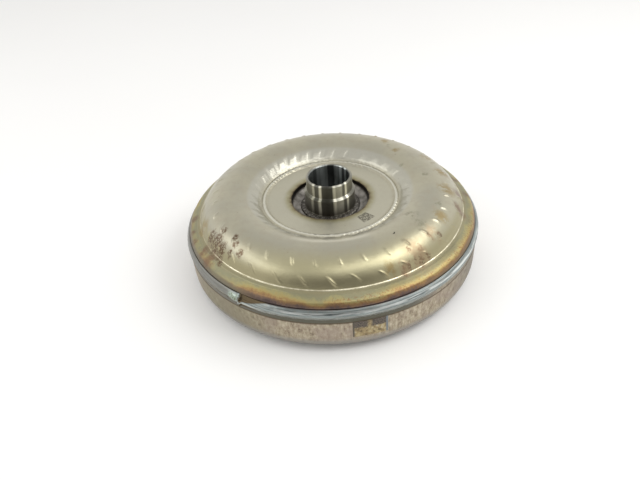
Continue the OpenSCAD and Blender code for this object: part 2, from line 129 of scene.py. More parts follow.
def arc(centre, radius, start, end, count):
    """Points on a circular arc, angles in degrees."""
    w = np.radians(np.linspace(start, end, count))
    return np.c_[centre[0] + radius * np.cos(w), centre[1] + radius * np.sin(w)]


def rounded(corners):
    """A line through corners of (radius, height, fillet); each corner is turned into an arc of its fillet."""
    p = np.array([c[:2] for c in corners], float)
    out = [p[0]]
    for i in range(1, len(p) - 1):
        back, ahead = p[i - 1] - p[i], p[i + 1] - p[i]
        lb, la = np.linalg.norm(back), np.linalg.norm(ahead)
        back, ahead = back / lb, ahead / la
        half = math.acos(max(-1.0, min(1.0, float(back @ ahead)))) / 2
        if corners[i][2] <= 0 or half > math.radians(89.5):
            out.append(p[i])
            continue
        reach = min(corners[i][2] / math.tan(half), 0.49 * lb, 0.49 * la)
        a, b = p[i] + back * reach, p[i] + ahead * reach
        for t in np.linspace(0, 1, 9):
            out.append((1 - t) ** 2 * a + 2 * t * (1 - t) * p[i] + t ** 2 * b)
    out.append(p[-1])
    return np.array(out)


def flowing(points, per_span=8):
    """A smooth curve through points (Catmull-Rom)."""
    p = np.array(points, float)
    p = np.vstack([2 * p[0] - p[1], p, 2 * p[-1] - p[-2]])
    out = []
    for i in range(1, len(p) - 2):
        for t in np.linspace(0, 1, per_span, endpoint=False):
            out.append(0.5 * (2 * p[i] + (p[i + 1] - p[i - 1]) * t
                              + (2 * p[i - 1] - 5 * p[i] + 4 * p[i + 1] - p[i + 2]) * t ** 2
                              + (3 * p[i] - p[i - 1] - 3 * p[i + 1] + p[i + 2]) * t ** 3))
    out.append(p[-2])
    return np.array(out)


def resampled(line, step):
    """The same line with points about every step, keeping its corners nearly sharp."""
    d = np.r_[0, np.cumsum(np.hypot(*np.diff(line, axis=0).T))]
    count = max(2, int(d[-1] / step))
    at = np.unique(np.r_[np.linspace(0, d[-1], count), d])
    at = at[np.r_[True, np.diff(at) > 1e-3]]
    return np.c_[np.interp(at, d, line[:, 0]), np.interp(at, d, line[:, 1])]


def side_normals(line):
    """Unit normals on the left-hand side of a line."""
    t = np.gradient(line, axis=0)
    t /= np.linalg.norm(t, axis=1)[:, None] + 1e-12
    return np.c_[-t[:, 1], t[:, 0]]


# ---- meshes ----

def grid(name, points, wrap=True):
    """A mesh from a (rows, columns, 3) array. Columns close on themselves, and so do rows if wrap is set."""
    rows, cols = points.shape[:2]
    index = np.arange(rows * cols).reshape(rows, cols)
    nxt = np.roll(index, -1, axis=1)
    top = np.roll(index, -1, axis=0) if wrap else index[1:]
    low, low_next = (index, nxt) if wrap else (index[:-1], nxt[:-1])
    top_next = np.roll(top, -1, axis=1)
    quads = np.stack([low, low_next, top_next, top], -1).reshape(-1, 4)
    co = points.reshape(-1, 3)
    a, b, c = co[quads[:, 0]], co[quads[:, 1]], co[quads[:, 2]]
    if np.einsum("ij,ij->i", a, np.cross(b, c)).sum() < 0:
        quads = quads[:, ::-1]
    mesh = bpy.data.meshes.new(name)
    mesh.vertices.add(len(co))
    mesh.vertices.foreach_set("co", np.ascontiguousarray(co, np.float32).ravel())
    mesh.loops.add(quads.size)
    mesh.loops.foreach_set("vertex_index", np.ascontiguousarray(quads, np.int32).ravel())
    mesh.polygons.add(len(quads))
    mesh.polygons.foreach_set("loop_start", np.arange(0, quads.size, 4, dtype=np.int32))
    mesh.polygons.foreach_set("use_smooth", np.ones(len(quads), bool))
    mesh.update(calc_edges=True)
    piece = bpy.data.objects.new(name, mesh)
    bpy.context.scene.collection.objects.link(piece)
    return piece


def turned(name, line, steps, relief=None):
    """A closed outline revolved about the Z axis. relief(az, r, z) says how far the surface is pushed out."""
    az = np.arange(steps) * 360.0 / steps
    r, z = line[:, :1] + 0 * az, line[:, 1:] + 0 * az
    if relief:
        push = relief(az[None, :], r, z)
        n = side_normals(line) * (-1 if signed_area(line) > 0 else 1)
        r, z = r + n[:, :1] * push, z + n[:, 1:] * push
    w = np.radians(az)[None, :]
    return grid(name, np.stack([r * np.cos(w), r * np.sin(w), z], -1) * MM)


def signed_area(line):
    """The area inside a closed line, positive if the line runs anticlockwise."""
    x, y = line[:, 0], line[:, 1]
    return float(np.sum(x * np.roll(y, -1) - np.roll(x, -1) * y) / 2)


def outfit(piece, material, body, slot, *nodes):
    """Gives a new piece its material and its body, and hides the CAD nodes that it stands for."""
    piece.data.materials.append(material)
    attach(piece, body)
    if nodes:
        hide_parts(*nodes)
    return piece


# ---- reliefs: how far a surface is pushed out, in millimetres ----

def waves(seed, count, low, high, tilt=0.12):
    """A smooth, repeatable unevenness: a sum of waves that close round the axis."""
    rng = np.random.default_rng(seed)
    turns = rng.integers(low, high, count)
    along = rng.normal(0, tilt, count)
    phase = rng.uniform(0, 2 * math.pi, count)

    def value(az, r, z):
        s = r + z
        each = (np.cos(np.radians(k * az) + m * s + p) for k, m, p in zip(turns, along, phase))
        return sum(each) / math.sqrt(count)
    return value


def marks(az, r, first, r_mid, slant, half_width, half_length, seed, power=2):
    """A ring of one mark per blade, about 1 high on its centre line. A high power flattens its top."""
    rng = np.random.default_rng(seed)
    turn = (az - first - slant * (r - r_mid)) / PITCH
    k = np.round(turn).astype(int) % BLADES
    off = (turn - np.round(turn)) * PITCH + rng.normal(0, MARK_WANDER, BLADES)[k]
    across = np.radians(off) * r / half_width
    along = (r - r_mid - rng.normal(0, 0.4, BLADES)[k]) / half_length
    depth = rng.uniform(0.6, 1.2, BLADES)[k]
    return depth * np.exp(-np.abs(across) ** power) * np.exp(-along ** 4)


def shell_relief(az, r, z):
    """The shell's unevenness, the bulges beside its ridge, and the two rings of blade-tab marks."""
    outside = (z > PLATE_Z - 12) & (r > RECESS_R + 1)
    dome = np.clip((r - 60) / 8, 0, 1) * outside
    push = 0.07 * waves(3, 14, 2, 12)(az, r, z) * dome
    push += 0.03 * waves(5, 26, 14, 60, 0.25)(az, r, z) * dome
    top = (z > PLATE_Z - 1) * outside
    ridge = np.exp(-((r - 64) / 3) ** 2) * top
    push += ridge * 0.17 * waves(7, 22, 20, 110, 0.5)(az, r, z)
    pillow = np.clip((r - 67.0) / 7.5, 0, 1) * np.clip((80.0 - r) / 5.5, 0, 1)
    bulge = marks(az, r, 67.7, 73, -0.35, 4.1, 9.0, 11, power=5) * pillow
    middle = marks(az, r, 240.7, 110.7, 0.2, 1.25, 3.1, 13)
    outer = marks(az, r, 236.0, 122.7, 0.79, 1.35, 2.0, 14)
    push += top * 0.62 * bulge + outside * (0.70 * middle + 0.60 * outer)
    return push


def between(value, low, high, soft):
    """1 between low and high, falling to 0 over soft on each side."""
    return np.clip((value - low) / soft + 0.5, 0, 1) * np.clip((high - value) / soft + 0.5, 0, 1)


def weld_ripple(az, r, z):
    """Ripples of the girth weld, and the place where its end runs over its start."""
    side = (z - BEAD_MID_Z) / BEAD_HALF
    outside = np.clip((r - 138.6) / 1.5, 0, 1)
    crescent = (1 - ((az + 0.5 * side ** 2) / WELD_PITCH) % 1) ** 1.5
    push = 0.035 * crescent + 0.045 * waves(21, 24, 12, 150, 0.5)(az, r, z) - 0.10
    push += 0.05 * np.cos(side * 6 + 0.8 * waves(22, 8, 2, 20, 0.1)(az, r, z))
    nose = WELD_END - 1.7 * side ** 2
    start = np.clip((az - WELD_END - 0.4) / 11, 0, 1)
    begun = between(az, WELD_END, 330, 0.4)
    push -= begun * (1 - start) * (0.9 + 0.9 * np.clip(np.abs(side) - 0.25, 0, 1))
    push -= 1.7 * between(az, nose, WELD_END + 0.6, 0.5)
    push += 0.9 * np.exp(-((az - 232.6) / 2.2) ** 4 - (side / 0.8) ** 4) * (az < nose)
    ahead = between(az, 150, 231, 3)
    push += ahead * (0.45 * np.exp(-((side - 0.72) / 0.14) ** 2) - 0.30 * np.exp(-((side - 0.2) / 0.35) ** 2))
    return outside * push


# ---- materials ----

class Paint:
    """A material being built. Each method adds nodes and returns an output. Lengths are in millimetres."""

    def __init__(self, name, metallic=1.0, roughness=0.4, anisotropic=0.0):
        self.material = bpy.data.materials.new(name)
        self.material.use_nodes = True
        self.tree = self.material.node_tree
        self.shader = self.tree.nodes["Principled BSDF"]
        self.shader.inputs["Metallic"].default_value = metallic
        self.shader.inputs["Roughness"].default_value = roughness
        self.shader.inputs["Anisotropic"].default_value = anisotropic
        place = self.node("ShaderNodeTexCoord").outputs["Object"]
        self.place = self.node("ShaderNodeVectorMath", place, operation="SCALE", Scale=1 / MM).outputs[0]
        x, y, self.z = self.node("ShaderNodeSeparateXYZ", self.place).outputs
        square = self.calc("ADD", self.calc("MULTIPLY", x, x), self.calc("MULTIPLY", y, y))
        self.r = self.calc("SQRT", square)
        turn = self.calc("MULTIPLY", self.calc("ARCTAN2", y, x), 180 / math.pi)
        self.az = self.calc("FLOORED_MODULO", turn, 360.0)

    def node(self, kind, *values, operation=None, **named):
        made = self.tree.nodes.new(kind)
        if operation:
            made.operation = operation
        for i, value in enumerate(values):
            self.feed(made.inputs[i], value)
        for key, value in named.items():
            self.feed(made.inputs[key], value)
        return made

    def feed(self, socket, value):
        if isinstance(value, bpy.types.NodeSocket):
            self.tree.links.new(value, socket)
        elif isinstance(value, (tuple, list)) and socket.type == "RGBA" and len(value) == 3:
            socket.default_value = (*value, 1)
        else:
            socket.default_value = value

    def calc(self, operation, a, b=0.0):
        return self.node("ShaderNodeMath", a, b, operation=operation).outputs[0]

    def both(self, *values):
        """The product of values, such as masks and strengths."""
        out = values[0]
        for value in values[1:]:
            out = self.calc("MULTIPLY", out, value)
        return out

    def total(self, base, *terms):
        """base plus each term, where a term is (value, factor)."""
        for value, factor in terms:
            base = self.calc("ADD", base, self.calc("MULTIPLY", value, factor))
        return base

    def inverse(self, mask):
        return self.calc("SUBTRACT", 1.0, mask)

    def rise(self, value, low, high):
        """0 below low and 1 above high, smooth between. The other way round if high is below low."""
        made = self.node("ShaderNodeMapRange", value, low, high)
        made.interpolation_type = "SMOOTHSTEP"
        return made.outputs[0]

    def window(self, value, low, high, soft):
        """1 between low and high, falling to 0 over soft on each side."""
        return self.both(self.rise(value, low - soft, low + soft), self.rise(value, high + soft, high - soft))

    def mix(self, amount, a, b, blend="MIX"):
        made = self.tree.nodes.new("ShaderNodeMix")
        made.data_type = "RGBA"
        made.blend_type = blend
        self.feed(made.inputs[0], amount)
        self.feed(made.inputs[6], a)
        self.feed(made.inputs[7], b)
        return made.outputs[2]

    def tint(self, colour, new, *masks):
        """colour, covered with new as far as the product of masks says."""
        return self.mix(self.both(*masks), colour, new)

    def ramp(self, value, stops):
        """Colours along a value: stops are (value, colour) in rising order."""
        low, high = stops[0][0], stops[-1][0]
        scaled = self.node("ShaderNodeMapRange", value, low, high).outputs[0]
        made = self.node("ShaderNodeValToRGB", scaled)
        bar = made.color_ramp.elements
        for i, (at, colour) in enumerate(stops):
            stop = bar[i] if i < 2 else bar.new(1.0)
            stop.position = (at - low) / (high - low)
            stop.color = (*colour, 1)
        return made.outputs[0]

    def spread(self, vector, x, y, z):
        return self.node("ShaderNodeVectorMath", vector, (x, y, z), operation="MULTIPLY").outputs[0]

    def ring_place(self, across, along):
        """Coordinates that follow a turned surface: azimuth times across, radius and height times along."""
        w, r, z = self.both(self.az, across), self.both(self.r, along), self.both(self.z, along)
        return self.node("ShaderNodeCombineXYZ", w, r, z).outputs[0]

    def noise(self, scale, detail=3.0, roughness=0.5, vector=None):
        made = self.node("ShaderNodeTexNoise", Vector=vector or self.place, Scale=scale, Detail=detail,
                         Roughness=roughness)
        return made.outputs["Fac"]

    def patches(self, scale, detail, roughness, low, high):
        """A mask that is 0 where a noise is under low and 1 where it is over high."""
        return self.rise(self.noise(scale, detail, roughness), low, high)

    def wander(self, scale, detail, roughness, size):
        """A noise about zero, which makes an edge ragged by about a quarter of size."""
        return self.both(self.calc("SUBTRACT", self.noise(scale, detail, roughness), 0.5), size)

    def bump(self, height, distance, strength=1.0, below=None):
        """distance is the height in millimetres that a height of 1 stands for."""
        made = self.node("ShaderNodeBump", Strength=strength, Distance=distance * MM, Height=height)
        if below:
            self.feed(made.inputs["Normal"], below)
        return made.outputs[0]

    def done(self, colour, roughness=None, normal=None):
        self.feed(self.shader.inputs["Base Color"], colour)
        if roughness:
            self.feed(self.shader.inputs["Roughness"], roughness)
        if normal:
            self.feed(self.shader.inputs["Normal"], normal)
        return self.material


def grays(levels):
    """Colour stops from (value, brightness) pairs."""
    return [(at, (level, level, level * 0.97)) for at, level in levels]


def blots(p, places, soft=0.45):
    """A mask of round marks with ragged rims. places are (azimuth, radius, size) on the shell."""
    shift = p.node("ShaderNodeTexNoise", Vector=p.place, Scale=0.32, Detail=4.0, Roughness=0.6)
    shift = p.node("ShaderNodeVectorMath", shift.outputs["Color"], (0.5, 0.5, 0.5), operation="SUBTRACT")
    shift = p.node("ShaderNodeVectorMath", shift.outputs[0], operation="SCALE", Scale=7.0)
    here = p.node("ShaderNodeVectorMath", p.place, shift.outputs[0], operation="ADD").outputs[0]
    here = p.spread(here, 1, 1, 0)
    out = None
    for az, r, size in places:
        w = math.radians(az)
        spot = (r * math.cos(w), r * math.sin(w), 0)
        away = p.node("ShaderNodeVectorMath", here, spot, operation="DISTANCE").outputs["Value"]
        mark = p.rise(away, size, size * soft)
        out = p.calc("MAXIMUM", out, mark) if out else mark
    return out


def shell_steel():
    """The formed shell, with the tints, stains and marks of welding, handling and wear, and with painted
    highlights and painted shade.
    """
    p = Paint("shell_steel", metallic=0.92, roughness=0.34)
    fine = p.noise(0.16, 5, 0.6)
    plate = p.both(p.rise(p.r, 62, 58), p.rise(p.z, *PLATE_EDGE))
    wall = p.both(p.rise(p.z, 66.9, 66.2), p.rise(p.r, 38.2, 37.4))
    colour = shell_tones(p, fine, plate)
    colour = heat_tint_and_painted_shade(p, colour)
    colour = worn_lip_and_painted_highlights(p, colour)
    colour = recess_burn_and_painted_shade(p, colour, wall)
    colour = stains(p, colour)
    colour = square_of_marks(p, colour)
    rough = p.total(0.25, (fine, 0.16), (p.rise(p.r, 127.2, 129), 0.12), (wall, 0.15), (plate, 0.10))
    lines = p.noise(1.0, 3, 0.6, vector=p.ring_place(0.03, 0.9))
    normal = p.bump(lines, 0.035)
    normal = p.bump(p.noise(0.30, 4, 0.6), 0.10, below=normal)
    normal = p.bump(p.noise(2.2, 3, 0.6), 0.012, below=normal)
    return p.done(colour, rough, normal)


def shell_tones(p, fine, plate):
    """Base tones of the shell: cloudy, paler on the hub plate, golden in front and darker towards the rim."""
    colour = p.mix(p.patches(0.020, 4, 0.55, 0.38, 0.62), (0.475, 0.450, 0.345), (0.430, 0.412, 0.330))
    colour = p.tint(colour, (0.43, 0.385, 0.295), p.rise(fine, 0.45, 0.70), 0.5)
    colour = p.tint(colour, (0.54, 0.52, 0.42), plate, 0.7)
    colour = p.tint(colour, (0.44, 0.405, 0.245), p.window(p.az, 232, 322, 26), p.rise(p.r, 96, 116), 0.85)
    return p.tint(colour, (0.36, 0.325, 0.20), p.rise(p.r, 118, 124))


def heat_tint_and_painted_shade(p, colour):
    """Colours that run out from the girth weld over the lower edge of the shell, and a painted shade on the
    band below the step at the front right.
    """
    ragged = p.wander(0.05, 3, 0.5, 9.0)
    torn = p.wander(0.35, 4, 0.75, 5.0)
    edge = p.calc("ADD", p.z, p.calc("ADD", ragged, torn))
    lift = p.both(p.window(p.az, 235, 249, 5), -2.6)
    lift = p.total(lift, (p.window(p.az, 285, 335, 12), -1.4))
    edge = p.calc("ADD", edge, lift)
    tones = p.ramp(edge, [
        (49.4, (0.10, 0.075, 0.07)), (50.5, (0.16, 0.115, 0.10)), (51.8, (0.25, 0.16, 0.095)),
        (53.0, (0.34, 0.215, 0.10)), (54.2, (0.42, 0.33, 0.14)), (55.6, (0.38, 0.34, 0.17)),
        (57.5, (0.28, 0.27, 0.17)), (60.6, (0.30, 0.265, 0.165)),
    ])
    past_step = p.rise(p.r, 126.2, 127.2)
    near_weld = p.both(p.rise(p.z, 60.6, 57.5), past_step)
    colour = p.tint(colour, tones, near_weld)
    spatter = p.both(p.window(p.z, 51.0, 57.0, 1.0), p.window(p.az, 268, 350, 10), past_step,
                     p.patches(0.55, 4, 0.7, 0.53, 0.60))
    colour = p.tint(colour, (0.27, 0.14, 0.065), spatter, 0.75)
    purple = p.both(p.rise(edge, 53.0, 51.2), near_weld, p.inverse(p.window(p.az, 238, 302, 9)))
    colour = p.tint(colour, (0.24, 0.17, 0.10), purple, 0.8)
    dull = p.both(p.window(p.az, 178, 233, 7), p.rise(p.z, 57.5, 53), p.rise(p.z, 40, 42))
    colour = p.tint(colour, (0.20, 0.19, 0.145), dull, 0.8)
    # painted shade: darkens the band below the step at the front right, where the key lamp falls
    painted_band_shade = p.both(p.window(p.az, 284, 328, 9), p.window(p.r, 127.4, 133, 1.5), p.rise(p.z, 50, 52))
    return p.tint(colour, (0.15, 0.13, 0.075), painted_band_shade, 0.6)


def worn_lip_and_painted_highlights(p, colour):
    """Painted highlights on the shell: along the step line (partly also a worn, bright lip), on the ridge
    crest and on the dish in front of the hub, and a paler ring on the inner dish.
    """
    on_top = p.rise(p.z, *PLATE_EDGE)
    step_line = p.both(p.window(p.r, 126.2, 127.15, 0.1), p.window(p.z, 59.6, 60.8, 0.2))
    wear_and_sheen = p.total(0.35, (p.patches(0.11, 4, 0.6, 0.40, 0.62), 0.6))
    not_left = p.inverse(p.both(p.window(p.az, 130, 214, 10), 0.7))
    # painted highlight along the step line, partly a worn, bright lip; patchy, and weaker on the left
    colour = p.tint(colour, (0.85, 0.80, 0.62), step_line, wear_and_sheen, not_left)
    # painted highlight along the ridge crest
    colour = p.tint(colour, (0.80, 0.79, 0.70), p.window(p.r, 62.8, 65.0, 0.4), on_top, 0.6)
    colour = p.tint(colour, (0.50, 0.495, 0.44), p.window(p.r, 68, 79, 2.0), on_top, 0.6)
    # painted highlight on the dish in front of the hub
    return p.tint(colour, (0.80, 0.77, 0.64), p.window(p.az, 252, 288, 12), p.window(p.r, 66, 88, 3), 0.85)


def recess_burn_and_painted_shade(p, colour, wall):
    """The burnt ring round the hub recess, soot in the recess, and painted shade that turns the upper recess
    wall near black.
    """
    dark_ring = p.ramp(p.calc("ADD", p.r, p.wander(0.12, 4, 0.6, 7.0)), [
        (36.6, (0.05, 0.04, 0.03)), (37.8, (0.15, 0.12, 0.07)), (39.2, (0.30, 0.265, 0.16)),
        (42.0, (0.42, 0.395, 0.27)), (46.0, (0.47, 0.45, 0.36)),
    ])
    colour = p.tint(colour, dark_ring, p.rise(p.r, 47, 42), p.rise(p.z, 40, 42))
    soot_and_painted_shade = p.ramp(p.noise(0.10, 4, 0.55), [(0.35, (0.14, 0.13, 0.115)), (0.60, (0.36, 0.34, 0.31))])
    # painted shade: the upper recess wall turns near black, where shade falls; lower down the soot stays
    soot_and_painted_shade = p.mix(p.rise(p.z, 61.2, 63.5), soot_and_painted_shade, (0.025, 0.02, 0.016))
    return p.tint(colour, soot_and_painted_shade, wall)


def stains(p, colour):
    """Rust-brown stains, gray scuffs and dark specks."""
    for places, soft, patches, strength, tone in (
            (RUST_SPOTS, 0.45, (0.5, 4, 0.7, 0.38, 0.54), 0.88, (0.13, 0.08, 0.048)),
            (PINK_AREAS, 0.15, (0.13, 5, 0.65, 0.34, 0.56), 0.7, (0.32, 0.225, 0.135)),
            (TAN_AREAS, 0.15, (0.14, 5, 0.7, 0.39, 0.52), 0.8, (0.31, 0.23, 0.10)),
            (BROWN_AREAS, 0.2, (0.12, 4, 0.6, 0.31, 0.52), 0.85, (0.20, 0.125, 0.08)),
            (GRAY_SCUFFS, 0.3, (0.20, 5, 0.65, 0.45, 0.58), 0.55, (0.24, 0.235, 0.165))):
        colour = p.tint(colour, tone, blots(p, places, soft), p.patches(*patches), strength)
    colour = p.tint(colour, (0.20, 0.16, 0.11), p.patches(0.42, 2, 0.5, 0.735, 0.77), 0.6)
    return p.tint(colour, (0.02, 0.018, 0.015), blots(p, DARK_DOT, 0.6))


def square_of_marks(p, colour):
    """A square of fine marks beside the hub recess, with no pattern to read."""
    square = p.both(p.window(p.az, 302.8, 317.2, 0.4), p.window(p.r, 43.4, 54.6, 0.4))
    dots = p.both(p.patches(0.75, 1, 0.4, 0.40, 0.52), 0.6)
    return p.tint(colour, (0.13, 0.12, 0.09), square, p.calc("ADD", dots, 0.25))


def skirt_steel():
    """The cover's skirt: blotchy, duller on the left, darker to the right by painted shade, and darker in a
    band below the weld.
    """
    p = Paint("skirt_steel", metallic=0.8, roughness=0.5)
    streaks = p.noise(0.42, 5, 0.7, vector=p.spread(p.place, 1, 1, 0.35))
    mottle = p.noise(0.22, 6, 0.72)
    mixed = p.total(p.both(streaks, 0.55), (mottle, 0.45))
    colour = p.ramp(mixed, [
        (0.38, (0.18, 0.135, 0.095)), (0.46, (0.36, 0.30, 0.22)), (0.53, (0.47, 0.41, 0.305)),
        (0.62, (0.62, 0.56, 0.44)),
    ])
    colour = p.tint(colour, (0.38, 0.31, 0.26), p.patches(0.035, 4, 0.6, 0.42, 0.60), 0.6)
    colour = p.tint(colour, (0.24, 0.225, 0.145), p.window(p.az, 205, 242, 12), 0.6)
    # painted shade: the right of the skirt is darkened against the lamps' light
    colour = p.tint(colour, (0.16, 0.145, 0.12), p.window(p.az, 322, 352, 14), 0.7)
    colour = p.tint(colour, (0.34, 0.325, 0.295), p.rise(p.z, 19, 13), 0.8)
    faint_right = p.inverse(p.both(p.window(p.az, 304, 400, 8), 0.7))
    band = p.mix(p.window(p.az, 236, 303, 16), (0.22, 0.21, 0.18), (0.135, 0.13, 0.10))
    colour = p.tint(colour, band, p.rise(p.z, 35.7, 36.5), faint_right)
    colour = p.tint(colour, (0.10, 0.07, 0.04), p.window(p.z, 35.3, 36.3, 0.6), 0.85)
    return p.done(colour, p.total(0.40, (streaks, 0.25)), p.bump(mixed, 0.35, 0.8))


def bead_steel():
    """The girth weld: streaked, with a painted sheen on its crown, a painted reflection that lightens its
    lower side, and its end run over its start.
    """
    p = Paint("bead_steel", roughness=0.28)
    streak = p.noise(0.9, 4, 0.6, vector=p.ring_place(0.10, 0.8))
    colour = p.ramp(streak, [
        (0.32, (0.15, 0.17, 0.17)), (0.5, (0.25, 0.285, 0.28)), (0.68, (0.40, 0.44, 0.43)),
    ])
    colour = p.tint(colour, (0.30, 0.29, 0.25), p.patches(0.35, 4, 0.6, 0.5, 0.68), 0.5)
    behind = p.window(p.az, 150, 231, 3)
    colour = p.tint(colour, (0.22, 0.205, 0.18), behind, 0.7)
    nose = p.both(p.window(p.az, 229.6, 234.0, 1.0), p.window(p.z, 42.8, 48.6, 1.0))
    green = p.ramp(p.noise(0.8, 3, 0.6), [(0.4, (0.16, 0.19, 0.10)), (0.6, (0.48, 0.56, 0.50))])
    colour = p.tint(colour, green, nose, 0.85)
    # painted reflection: the lower side of the bead is lighter, as if it reflects the floor
    colour = p.tint(colour, (0.60, 0.62, 0.58), p.rise(p.z, 44.5, 42), 0.8)
    # painted highlight: a light line along the crown of the bead in front
    painted_sheen = p.both(p.window(p.z, 46.0, 47.7, 0.5), p.window(p.az, 250, 345, 12), p.rise(streak, 0.38, 0.58))
    colour = p.tint(colour, (0.88, 0.91, 0.89), painted_sheen, 0.75)
    front = p.total(0.25, (p.window(p.az, 238, 302, 9), 0.75))
    colour = p.tint(colour, (0.11, 0.085, 0.08), p.rise(p.z, 49.0, 50.0), front)
    colour = p.tint(colour, (0.24, 0.22, 0.16), behind, p.rise(p.z, 44.6, 43.4))
    # the start of the bead is thin and widens over a few degrees
    taper = p.rise(p.az, WELD_END - 1, WELD_END + 14)
    middle = p.total(43.0, (taper, 2.0))
    off_middle = p.calc("ABSOLUTE", p.calc("SUBTRACT", p.z, middle))
    away = p.calc("SUBTRACT", off_middle, p.both(taper, 5.0))
    bare = p.both(p.rise(away, 0.2, 1.0), p.window(p.az, WELD_END - 0.4, WELD_END + 14, 0.3))
    colour = p.tint(colour, (0.15, 0.115, 0.07), bare)
    rough = p.total(0.22, (streak, 0.24), (bare, 0.2))
    return p.done(colour, rough, p.bump(p.noise(1.2, 4, 0.6), 0.05, 0.6))


def turned_steel():
    """The hub: turned steel with painted reflections in light and dark bands round the journal and the bore,
    darker on the front left of its step, and a painted dark reflection towards its foot.
    """
    p = Paint("turned_steel", roughness=0.29, anisotropic=1.0)
    p.shader.inputs["Anisotropic Rotation"].default_value = 0.25
    round_axis = p.node("ShaderNodeTangent")
    round_axis.direction_type = "RADIAL"
    round_axis.axis = "Z"
    p.feed(p.shader.inputs["Tangent"], round_axis.outputs[0])
    colour = p.mix(p.patches(0.08, 3, 0.5, 0.4, 0.7), (0.50, 0.485, 0.42), (0.42, 0.41, 0.355))
    shoulder = p.both(p.window(p.z, STEP_Z - 2.1, STEP_Z - 0.2, 0.3), p.window(p.az, 190, 276, 4))
    colour = p.tint(colour, (0.20, 0.195, 0.15), shoulder, 0.8)
    uneven = p.noise(1.0, 3, 0.6, vector=p.ring_place(0.045, 0.012))
    # painted reflections: light and dark bands by azimuth round the journal
    painted_reflections = p.ramp(p.total(p.az, (uneven, 6.0)), grays(JOURNAL_PAINTED_REFLECTIONS))
    colour = p.mix(0.9, colour, painted_reflections, "MULTIPLY")
    # painted reflections: light and dark bands by azimuth in the bore
    bore_painted_reflections = p.mix(1.0, (0.42, 0.45, 0.45), p.ramp(p.az, grays(BORE_PAINTED_REFLECTIONS)), "MULTIPLY")
    colour = p.tint(colour, bore_painted_reflections, p.rise(p.r, 20.0, 19.4))
    # painted dark reflection of the recess: the journal turns nearly black towards the hub's foot
    dark_ring = p.both(p.rise(p.z, 74.0, 59.0), p.rise(p.r, 22.5, 23.5))
    return p.done(p.tint(colour, (0.06, 0.052, 0.036), dark_ring, 0.85))


def burnt_weld():
    """The small welds: dark and scaly, with a few bare patches."""
    p = Paint("burnt_weld", metallic=0.9, roughness=0.45)
    colour = p.ramp(p.noise(0.5, 4, 0.6), [
        (0.35, (0.045, 0.04, 0.032)), (0.58, (0.14, 0.13, 0.115)), (0.70, (0.45, 0.43, 0.37)),
    ])
    return p.done(colour, None, p.bump(p.noise(1.4, 4), 0.12, 0.8))


def label_film():
    """The aged id label: brown film with a dark, torn upper part and no print."""
    p = Paint("label_film", metallic=0.2, roughness=0.45)
    wear = p.noise(0.32, 3, 0.6)
    film = p.ramp(wear, [
        (0.34, (0.16, 0.115, 0.06)), (0.46, (0.31, 0.23, 0.11)), (0.58, (0.42, 0.335, 0.17)),
        (0.70, (0.52, 0.47, 0.35)),
    ])
    upper = p.rise(p.calc("ADD", p.z, p.wander(0.5, 4, 0.6, 5.0)), 28.0, 29.6)
    split = p.window(p.az, 280.2, 281.5, 0.6)
    dark = p.ramp(p.noise(1.1, 3, 0.6), [(0.4, (0.055, 0.045, 0.038)), (0.65, (0.17, 0.135, 0.10))])
    colour = p.tint(film, dark, upper, p.inverse(split))
    colour = p.tint(colour, (0.09, 0.075, 0.055), p.rise(p.az, 276.0, 275.2))
    colour = p.tint(colour, (0.17, 0.20, 0.22), p.rise(p.az, 286.3, 286.9))
    return p.done(colour, None, p.bump(wear, 0.08, 0.6))


def sheet_steel(name, tone, rough=0.38):
    """A plain sheet or machined finish in two close tones, with a fine grain."""
    p = Paint(name, roughness=rough)
    dim = tuple(0.78 * c for c in tone)
    colour = p.mix(p.patches(0.06, 4, 0.6, 0.38, 0.62), tone, dim)
    grain = p.noise(1.8, 3, 0.6)
    return p.done(colour, p.total(rough - 0.06, (grain, 0.12)), p.bump(grain, 0.015))


# ---- pieces ----

def shell_outline():
    outer = np.vstack([
        # the recess round the hub, the hub plate and the ridge
        rounded([(HUB_ROOT_R, FLOOR_Z, 0), (31.5, FLOOR_Z + 0.3, 5), (36.0, 61.4, 2.5),
                 (RECESS_R - 0.3, 63.2, 1.5), (RECESS_R, PLATE_Z, 0.7), (60.6, PLATE_Z, 0.8),
                 (62.8, PLATE_Z + 1.55, 0.7), (64.3, PLATE_Z + 1.7, 0.8), (66.6, PLATE_Z + 0.65, 0.9),
                 (68.4, PLATE_Z + 2.1, 1.5)]),
        # the dish up to the dome
        flowing([(68.6, PLATE_Z + 2.3), (70.2, PLATE_Z + 4.0), (74.0, PLATE_Z + 6.9), (78.0, PLATE_Z + 9.5),
                 (82.5, PLATE_Z + 11.5), (87.0, PLATE_Z + 12.8), (91.5, PLATE_Z + 13.5),
                 (DOME_R, PLATE_Z + 13.7)])[:-1],
        arc((DOME_R, DOME_Z), DOME_ARC, 90, 22, 60),
        # the step line, the slope below it and the skirt
        rounded([(126.3, 60.45, 0), (126.9, 60.1, 0.25), (127.0, 59.4, 0.3), (129.4, 58.5, 0.5),
                 (129.8, 58.1, 0.5), (135.8, 54.9, 3.0), (138.0, 51.4, 1.2), (SKIRT_R, 49.5, 0.5),
                 (SKIRT_R, RABBET_Z, 0)]),
    ])
    skirt_inner_r = SKIRT_R - SHELL_T
    under_recess, under_plate = FLOOR_Z - SHELL_T, PLATE_Z - SHELL_T
    inner = np.vstack([
        [(HUB_ROOT_R, under_recess), (RECESS_WALL_R, under_recess), (RECESS_WALL_R, under_plate),
         (61.0, under_plate), (67.0, PLATE_Z - 1.4), (78.5, PLATE_Z + 6.0), (88.0, PLATE_Z + 9.6)],
        arc((DOME_R, DOME_Z), DOME_ARC - SHELL_T, 90, 21, 20),
        [(126.5, 56.0), (134.6, 51.6), (skirt_inner_r, 50.2), (skirt_inner_r, RABBET_Z)],
    ])
    return np.vstack([resampled(outer, 0.6), inner[::-1]])


